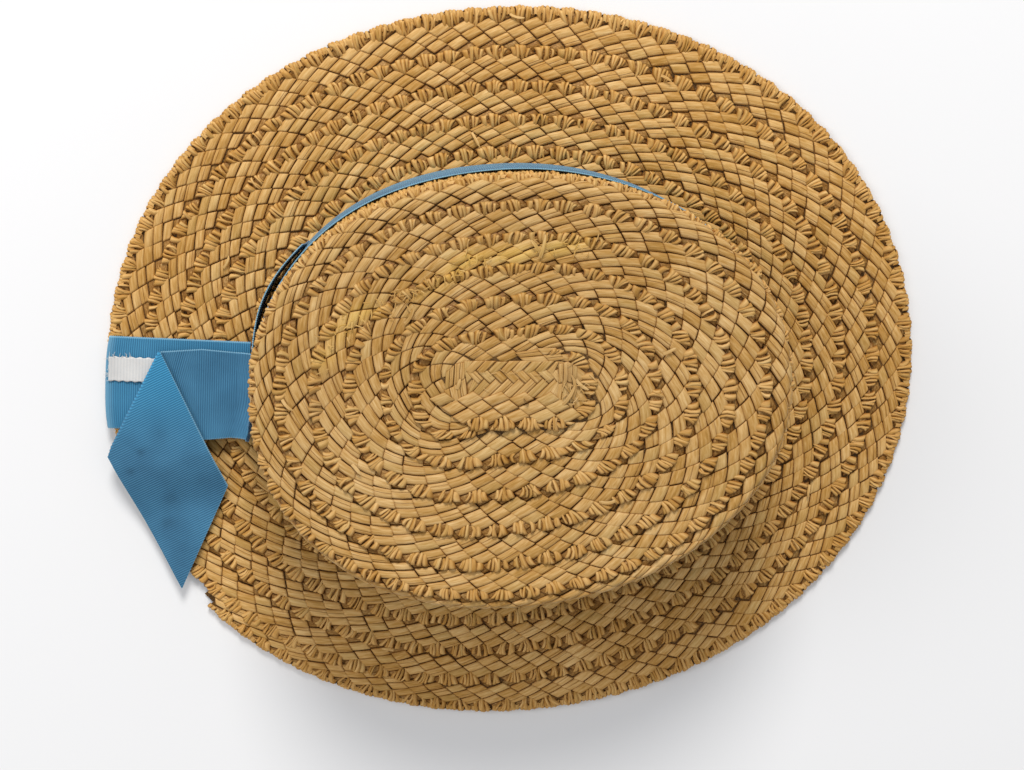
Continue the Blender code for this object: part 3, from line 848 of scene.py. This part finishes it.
def make_band_end(material):
    """The band's overlapping end, which stands off the wall and has a rounded free corner."""
    t = np.linspace(0.0, 1.0, 400)
    stand_off = WALL_FLARE + 2.1 + 1.5 * (1.0 - t) + 1.3 * np.sin(np.pi * t) ** 1.5
    x, y = spread_oval(mix(END_START, END_STOP, t), stand_off)
    path, lengths = resample(np.stack([x, y], axis=-1), RIB_PITCH / 4.0)
    cut = np.clip(END_CORNER - (lengths[-1] - lengths), 0.0, END_CORNER)
    top = (RIBBON_WIDTH - END_CORNER + np.sqrt(END_CORNER ** 2 - cut ** 2))[:, None]
    share = edged(12)[None]
    lean = mix(-2.2, 0.3, lengths[:, None] / lengths[-1]) * share - 0.5 * np.sin(np.pi * share)
    flat = path[:, None, :] + unit(path)[:, None, :] * lean[..., None]
    z = brim_top(0.0) + 0.6 + top * share
    piece = Piece("band_loose_end")
    area = ribbon(piece, np.concatenate([flat, z[..., None]], axis=-1), lengths[:, None] + 0.0 * share)
    finish_ribbon(piece, material, "band_end")


# Corners of the upper ribbon and of its folded tail, as (out, side), and the plies' heights over the brim
FOLD_TOP, FOLD_BOTTOM = np.array([35.5, 13.5]), np.array([55.4, -29.9])
TAIL_TOP_CORNER, TAIL_TIP = np.array([7.5, -40.3]), np.array([25.1, -83.9])
UPPER_MIDDLE = 19.0
UPPER_MIDDLE_SIDES = (15.2, -21.6)
TURN_UP_RADIUS, TURN_UP_HEIGHT, TURN_UP_SIDES, TURN_UP_NARROWING = 8.0, 24.0, (14.5, -20.0), 0.86
WALL_LINE_MIDDLE, WALL_LINE_CURVE = -3.4, 0.0052
UPPER_HEIGHT, TAIL_HEIGHT, TAIL_REST = 4.6, 6.0, 1.0
TAIL_DROP_START, TAIL_DROP_LENGTH, TAIL_FADE = 4.0, 26.0, 46.0
TAIL_WAY = unit(0.5 * (TAIL_TOP_CORNER + TAIL_TIP) - 0.5 * (FOLD_TOP + FOLD_BOTTOM))

# Creases on the tail, dented and darkened with painted shade: out, side, radius and depth
MARKS = ((41.9, -27.3, 1.6, 0.30), (46.2, -35.8, 1.6, 0.28), (29.8, -46.9, 2.6, 0.25),
         (31.5, -57.3, 2.4, 0.22), (36.0, -21.0, 4.5, 0.18))


def bow_point(out, side, height):
    out, side, height = np.broadcast_arrays(out, side, height)
    place = BOW_ROOT + out[..., None] * BOW_OUT + side[..., None] * BOW_SIDE
    z = brim_top(np.clip(out, 0.0, BRIM_REACH)) + height
    return np.concatenate([place, z[..., None]], axis=-1)


def make_loop(material):
    """The flattened loop under the bow: out along the brim, round a soft fold and back."""
    end = LOOP_REACH - LOOP_RADIUS
    top = LOOP_LOW + 2.0 * LOOP_RADIUS
    path = [(0.0, LOOP_LOW), (end - 6.0, LOOP_LOW)]
    path += [(end + LOOP_RADIUS * math.sin(a), LOOP_LOW + LOOP_RADIUS * (1.0 - math.cos(a)) - 0.15)
             for a in np.linspace(0.0, np.pi, 14)]
    path += [(end - 6.0, top - 0.05), (30.0, top - 0.2), (0.0, top - 0.2)]
    path, lengths = resample(path, RIB_PITCH / 4.0)
    share = 2.0 * edged(12)[None] - 1.0
    out = path[:, :1] * (1.0 - 0.022 * np.abs(share) ** 3 * (path[:, :1] / LOOP_REACH) ** 3)
    height = path[:, 1:] + 0.12 * np.sin(2.2 * share + path[:, :1] / 9.0)
    # The loop's rounded fold is paled as painted highlight.
    painted_highlight = 0.5 * smooth((path[:, :1] - end + 3.0) / 4.0)
    piece = Piece("bow_loop_ribbon")
    points = bow_point(out, 0.5 * RIBBON_WIDTH * share, height)
    area = ribbon(piece, points, lengths[:, None] + 0.0 * share, tint=0.35, painted_highlight=painted_highlight)
    finish_ribbon(piece, material, "bow_loop")


def upper_rows():
    """The upper ribbon's rows as (out, side, height): down the wall and out over the loop to its fold."""
    share = edged(14)
    side = mix(TURN_UP_SIDES[0], TURN_UP_SIDES[1], share)
    wall = WALL_LINE_MIDDLE + WALL_LINE_CURVE * side ** 2
    rows = []
    for height in np.linspace(TURN_UP_HEIGHT, TURN_UP_RADIUS, 30):
        climbed = (height - TURN_UP_RADIUS) / (TURN_UP_HEIGHT - TURN_UP_RADIUS)
        narrow = side * mix(1.0, TURN_UP_NARROWING, climbed)
        rows.append((WALL_LINE_MIDDLE + WALL_LINE_CURVE * narrow ** 2, narrow, UPPER_HEIGHT + height))
    for turn in np.linspace(0.0, 0.5 * np.pi, 30)[1:]:
        rows.append((wall + TURN_UP_RADIUS * (1.0 - math.cos(turn)), side,
                     UPPER_HEIGHT + TURN_UP_RADIUS * (1.0 - math.sin(turn))))
    ends = ((wall + TURN_UP_RADIUS, side),
            (UPPER_MIDDLE + 0.0 * share, mix(UPPER_MIDDLE_SIDES[0], UPPER_MIDDLE_SIDES[1], share)),
            (mix(FOLD_TOP[0], FOLD_BOTTOM[0], share), mix(FOLD_TOP[1], FOLD_BOTTOM[1], share)))
    for start, end, count in zip(ends[:-1], ends[1:], (60, 130)):
        for t in np.linspace(0.0, 1.0, count)[1:]:
            rows.append((mix(start[0], end[0], t), mix(start[1], end[1], t), UPPER_HEIGHT))
    return np.stack([np.stack(np.broadcast_arrays(*row)) for row in rows])


def tail_height(out, side):
    """The tail rides on the upper ribbon, and past its lower edge it drops to the brim."""
    share = (out - UPPER_MIDDLE) / (FOLD_BOTTOM[0] - UPPER_MIDDLE)
    past = mix(UPPER_MIDDLE_SIDES[1], FOLD_BOTTOM[1], share) - side
    drop = smooth((past - TAIL_DROP_START) / TAIL_DROP_LENGTH)
    wave = 0.35 * np.sin(0.16 * out + 0.11 * side) * drop
    return mix(TAIL_HEIGHT, TAIL_REST, drop) + wave - marked(out, side)


def marked(out, side):
    """How deep the tail's marks are at a place on it."""
    return sum(depth * np.exp(-((out - x) ** 2 + (side - y) ** 2) / radius ** 2)
               for x, y, radius, depth in MARKS)


def edge_crossing(start, end, length):
    """Where a line of the quad from start to end has a given length along the tail's way."""
    a, b = start @ TAIL_WAY, end @ TAIL_WAY
    t = np.clip((length - a) / (b - a), 0.0, 1.0)[:, None]
    return mix(start, end, t)


def make_upper(material):
    """The upper ribbon and its tail, which is folded back over it on a slant."""
    out, side, height = np.moveaxis(upper_rows(), 1, 0)
    piece = Piece("bow_tail_ribbon")
    area = ribbon(piece, bow_point(out, side, height), out - np.maximum(height - UPPER_HEIGHT, 0.0))
    low, fold_end = FOLD_TOP @ TAIL_WAY, FOLD_BOTTOM @ TAIL_WAY
    corner, high = TAIL_TOP_CORNER @ TAIL_WAY, TAIL_TIP @ TAIL_WAY
    length = np.arange(low + 0.05, high - 0.05, RIB_PITCH / 4.0)
    left = np.where((length < fold_end)[:, None], edge_crossing(FOLD_TOP, FOLD_BOTTOM, length),
                    edge_crossing(FOLD_BOTTOM, TAIL_TIP, length))
    right = np.where((length < corner)[:, None], edge_crossing(FOLD_TOP, TAIL_TOP_CORNER, length),
                     edge_crossing(TAIL_TOP_CORNER, TAIL_TIP, length))
    t = edged(18)[None, :, None]
    flat = mix(right[:, None], left[:, None], t)
    height = tail_height(flat[..., 0], flat[..., 1])
    fold_way = unit(FOLD_BOTTOM - FOLD_TOP)
    outward = np.array([-fold_way[1], fold_way[0]])
    radius = 0.5 * (TAIL_HEIGHT - UPPER_HEIGHT)
    folded = (1.0 - smooth((length - fold_end + 3.0) / 3.0))[:, None]
    turn = np.linspace(0.0, np.pi, 8)[None, 1:]
    around = left[:, None] + (folded * radius * np.sin(turn) + 0.02 * turn)[..., None] * outward
    under = height[:, -1:] - folded * radius * (1.0 - np.cos(turn))
    flat = np.concatenate([flat, around], axis=1)
    height = np.concatenate([height, under], axis=1)
    out, side = flat[..., 0], flat[..., 1]
    bright = 0.9 * (1.0 - smooth((FOLD_TOP[1] - side) / TAIL_FADE))
    # The tail's creases get painted shade as well as their dents.
    area += ribbon(piece, bow_point(out, side, height), length[:, None] + 0.0 * height,
                   crease_shade=1.6 * marked(out, side), tint=bright)
    finish_ribbon(piece, material, "bow_tail")


# The woven tape on the loop, left bare, and the threads that fray from its end and its upper side
TAPE_WIDTH, TAPE_LENGTH, TAPE_OUTER_END, TAPE_LOWER_SIDE, TAPE_HEIGHT = 9.8, 30.0, 56.3, 0.8, 3.35
TAPE_THICKNESS, TAPE_RELIEF, TAPE_FLAT_WIDTH = 0.3, 0.02, 0.010
FRAYS, END_FRAYS, FRAY_WIDTH = 26, 10, 0.16


def make_tape(material):
    out = np.linspace(TAPE_OUTER_END, TAPE_OUTER_END - TAPE_LENGTH, 90)[:, None]
    share = np.linspace(0.0, 1.0, 18)[None, :]
    ragged = 0.22 * np.sin(out * 1.9) * ((share == 0.0) | (share == 1.0))
    side = TAPE_LOWER_SIDE + TAPE_WIDTH * share + ragged
    height = TAPE_HEIGHT + 0.14 * np.sin(out * 0.45) + 0.18 * (share - 0.5) ** 2
    piece = Piece("tape_bare")
    ribbon(piece, bow_point(out, side, height), out * 1.9 + 0.0 * side, TAPE_THICKNESS, TAPE_RELIEF,
           selvedged=False)
    made = piece.build(material, "white_tape", "name_tape")
    at_end = np.arange(FRAYS) < END_FRAYS
    outs = TAPE_OUTER_END - RNG.random(FRAYS) * np.where(at_end, 0.5, 9.0) + 0.2
    sides = TAPE_LOWER_SIDE + np.where(at_end, TAPE_WIDTH * RNG.random(FRAYS), TAPE_WIDTH - 0.4)
    ground = bow_point(outs, sides, TAPE_HEIGHT + 0.1)
    headings = np.where(at_end, math.degrees(BOW_BEARING), 90.0) + RNG.normal(0.0, 35.0, FRAYS)
    lengths = 0.8 + 1.8 * RNG.random(FRAYS)
    threads = Piece("tape_threads")
    rises = 0.3 * RNG.random(FRAYS)
    add_straws(threads, np.column_stack([ground, headings, lengths, rises, 0.0 * outs]), FRAY_WIDTH)
    threads.build(material, "white_tape")


# Loose straws, and the scratches on the herringbone: x, y, ground height, heading, length, rise, paleness
TIP_STRAWS = (
    (10.5, 49.0, 85.2, 62.0, 8.5, 1.5, 0.9), (11.0, 50.5, 85.2, 118.0, 6.0, 1.2, 0.8),
    (19.5, 4.0, 85.2, -62.0, 6.0, 0.5, 1.0), (13.8, -5.0, 85.2, 40.0, 8.5, 1.3, 0.7),
    (15.0, 2.0, 85.1, 70.0, 7.0, 0.9, 0.4), (17.5, -3.0, 85.1, 55.0, 9.0, 0.7, 0.3),
    (-64.0, -19.0, 85.0, -50.0, 5.0, 0.8, 0.9), (-86.5, 7.0, 84.8, -70.0, 5.5, 0.8, 0.9),
    (-23.5, 4.5, 85.1, 70.0, 4.0, 0.4, 1.0), (52.0, 10.0, 85.1, 20.0, 5.0, 0.6, 0.8),
    (30.0, -42.0, 85.1, 200.0, 6.0, 0.6, 0.6), (-40.0, 30.0, 85.1, 35.0, 7.0, 0.9, 0.7),
)
SCRATCHES = [(x, y, 85.5, heading, length, 0.1, 1.0) for x, y, heading, length in (
    (-12.5, 9.6, 172.0, 3.2), (-8.8, 9.1, 176.0, 3.0), (-5.0, 8.9, 165.0, 3.4), (-1.2, 8.3, 170.0, 3.0),
    (4.5, 7.0, 5.0, 3.0), (8.5, 4.5, 30.0, 3.4), (-14.0, 4.0, -40.0, 2.4),
)]
STREWN_HEIGHT, STRAW_WIDTH, FIBRE_WIDTH, SCRATCH_WIDTH, BRIM_STRAW_WIDTH = 85.2, 1.2, 0.4, 0.22, 1.0
BRIM_STRAWS = (
    (-7.5, 96.5, 4.0, -68.0, 6.5, 1.3, 1.0), (12.0, 141.5, 3.4, -40.0, 6.0, 0.8, 1.0),
    (70.0, 112.0, 4.0, -20.0, 5.0, 0.8, 0.8), (-112.0, 52.0, 4.0, 40.0, 5.5, 0.8, 0.8),
    (-60.0, -112.0, 4.0, 160.0, 5.0, 0.8, 0.7), (118.0, -60.0, 4.0, 250.0, 5.0, 0.8, 0.7),
)


def scattered(count, places, spread, length):
    """Short fibres strewn on the tip about a list of places."""
    chosen = np.asarray(places)[RNG.integers(0, len(places), count)] + RNG.normal(0.0, spread, (count, 2))
    heading, size, rise, pale = (RNG.random(count) for _ in range(4))
    return np.column_stack([chosen, np.full(count, STREWN_HEIGHT), 360.0 * heading, length * (0.4 + size),
                            0.6 * rise, 0.8 * pale])


def stain_places(count):
    t = np.linspace(0.0, len(STAIN) - 1.001, count)
    i = t.astype(int)
    return mix(STAIN[i], STAIN[i + 1], (t - i)[:, None])


# The plait's pieces: name, node, and the range of path that each covers
STRETCHES = (
    ("crown_tip_plait", "crown", -9.0, 6.0),
    ("crown_wall_plait", "crown", 6.0, 12.9),
    ("brim_inner_plait", "brim", 12.9, 15.2),
    ("brim_outer_plait", "brim", 15.2, 99.0),
)
UNDER_STRETCHES = (("crown_inner_face", "crown", -9.0, 12.9), ("brim_under_face", "brim", 12.9, 99.0))
HIDDEN_BY_BAND = (10.15, 12.0)


def make_plait(material):
    columns = np.arange(0.0, (LENGTH[-1] - 0.3 * REPEAT) / REPEAT)
    path = outer_line(turns_at(columns * REPEAT)) - 0.5
    for name, node, low, high in STRETCHES:
        chosen = columns[(path >= low) & (path < high)]
        shown_path = path[(path >= low) & (path < high)]
        shown = chosen[(shown_path < HIDDEN_BY_BAND[0]) | (shown_path > HIDDEN_BY_BAND[1])]
        piece = Piece(name)
        add_base(piece, chosen[0] * REPEAT - 4.0, (chosen[-1] + 1) * REPEAT + 4.0)
        add_floats(piece, shown, (-1, ROWS), COARSE)
        add_floats(piece, shown, range(ROWS))
        add_shells(piece, shown)
        if name == "crown_tip_plait":
            add_floats(piece, shown[:12], (ROWS, ROWS + 1), FINE)
            add_centre(piece)
            add_straws(piece, TIP_STRAWS, STRAW_WIDTH)
            add_straws(piece, scattered(90, stain_places(60), 2.2, 2.6), FIBRE_WIDTH)
            add_straws(piece, scattered(22, ((19.0, 4.0), (17.0, -2.0), (22.0, 0.0)), 2.6, 3.6), FIBRE_WIDTH)
            add_straws(piece, SCRATCHES, SCRATCH_WIDTH)
        if name == "brim_outer_plait":
            rim_start = np.interp(16.02, TURNS, LENGTH)
            add_rim(piece, rim_start, LENGTH[-1])
            add_base(piece, rim_start, LENGTH[-1], outer=0.2, depth=0.55)
            add_straws(piece, BRIM_STRAWS, BRIM_STRAW_WIDTH)
        piece.build(material, "straw_plait", node)
    for name, node, low, high in UNDER_STRETCHES:
        chosen = columns[(path >= low) & (path < high)]
        piece = Piece(name)
        add_base(piece, chosen[0] * REPEAT - 4.0, (chosen[-1] + 1) * REPEAT + 4.0, under=True, pitch=4.0)
        add_floats(piece, chosen, range(-1, ROWS + 1), COARSE, under=True)
        add_shells(piece, chosen, COARSE_PLEAT, under=True)
        if name == "crown_inner_face":
            for shift in (-6.0, 2.2, 10.4, 18.6):
                add_floats(piece, np.arange(-2, 5), range(ROWS), COARSE, lay=centre_under(shift), under=True)
        piece.build(material, "straw_plait", node)


make_plait(straw_material())
BLUE = cloth_material("blue_grosgrain", (0.040, 0.148, 0.252), (0.067, 0.230, 0.375), (0.22, 0.42, 0.55, 1.0),
                      (0.045, 0.297, 0.515, 1.0), 0.85)
WHITE = cloth_material("white_tape", (0.50, 0.49, 0.48), (0.68, 0.67, 0.65), (0.6, 0.6, 0.58, 1.0),
                       (0.6, 0.6, 0.58, 1.0), 0.2)
make_band(BLUE)
make_band_end(BLUE)
make_loop(BLUE)
make_upper(BLUE)
make_tape(WHITE)


def make_floor(half=4.0):
    mesh = bpy.data.meshes.new("floor")
    corners = [(-half, -half, 0.0), (half, -half, 0.0), (half, half, 0.0), (-half, half, 0.0)]
    mesh.from_pydata(corners, [], [(0, 1, 2, 3)])
    floor = bpy.data.objects.new("floor", mesh)
    bpy.context.scene.collection.objects.link(floor)
    material = Shader("pale_floor", 0.6, 0.3)
    material.surface.inputs["Base Color"].default_value = (0.76, 0.76, 0.765, 1.0)
    mesh.materials.append(material.material)


def area_light(name, place, size, power, colour):
    """A round light that faces the hat."""
    data = bpy.data.lights.new(name, "AREA")
    data.shape = "DISK"
    data.size = size
    data.energy = power
    data.color = colour
    light = bpy.data.objects.new(name, data)
    light.location = place
    light.rotation_mode = "QUATERNION"
    light.rotation_quaternion = (-Vector(place)).to_track_quat("-Z", "Y")
    bpy.context.scene.collection.objects.link(light)


make_floor()
area_light("key", (0.12, 2.1, 1.7), 0.9, 62.0, (1.0, 0.985, 0.96))
area_light("fill", (-1.5, 0.6, 1.3), 1.0, 10.5, (0.98, 0.985, 1.0))

world = bpy.data.worlds.new("studio")
world.use_nodes = True
sky = world.node_tree.nodes["Background"].inputs
sky["Color"].default_value = (0.97, 0.98, 1.0, 1.0)
sky["Strength"].default_value = 0.6
bpy.context.scene.world = world
bpy.context.scene.view_settings.view_transform = "Standard"

# The camera's place on the hat's axes, and which ways its right and its top point
CAMERA_PLACE, CAMERA_LENS, SENSOR_WIDTH = (-25.0, 86.8, 713.2), 61.7, 36.0
RIGHT, UP = Vector((0.9947, -0.0920, 0.0459)), Vector((0.0972, 0.9872, -0.1266))

camera_data = bpy.data.cameras.new("camera")
camera_data.lens = CAMERA_LENS
camera_data.sensor_width = SENSOR_WIDTH
camera = bpy.data.objects.new("camera", camera_data)
aimed = Matrix((RIGHT, UP, RIGHT.cross(UP))).transposed().to_4x4()
aimed.translation = (Vector(CAMERA_PLACE) + Vector(SHIFT)) * MM
camera.matrix_world = aimed
bpy.context.scene.collection.objects.link(camera)
bpy.context.scene.camera = camera
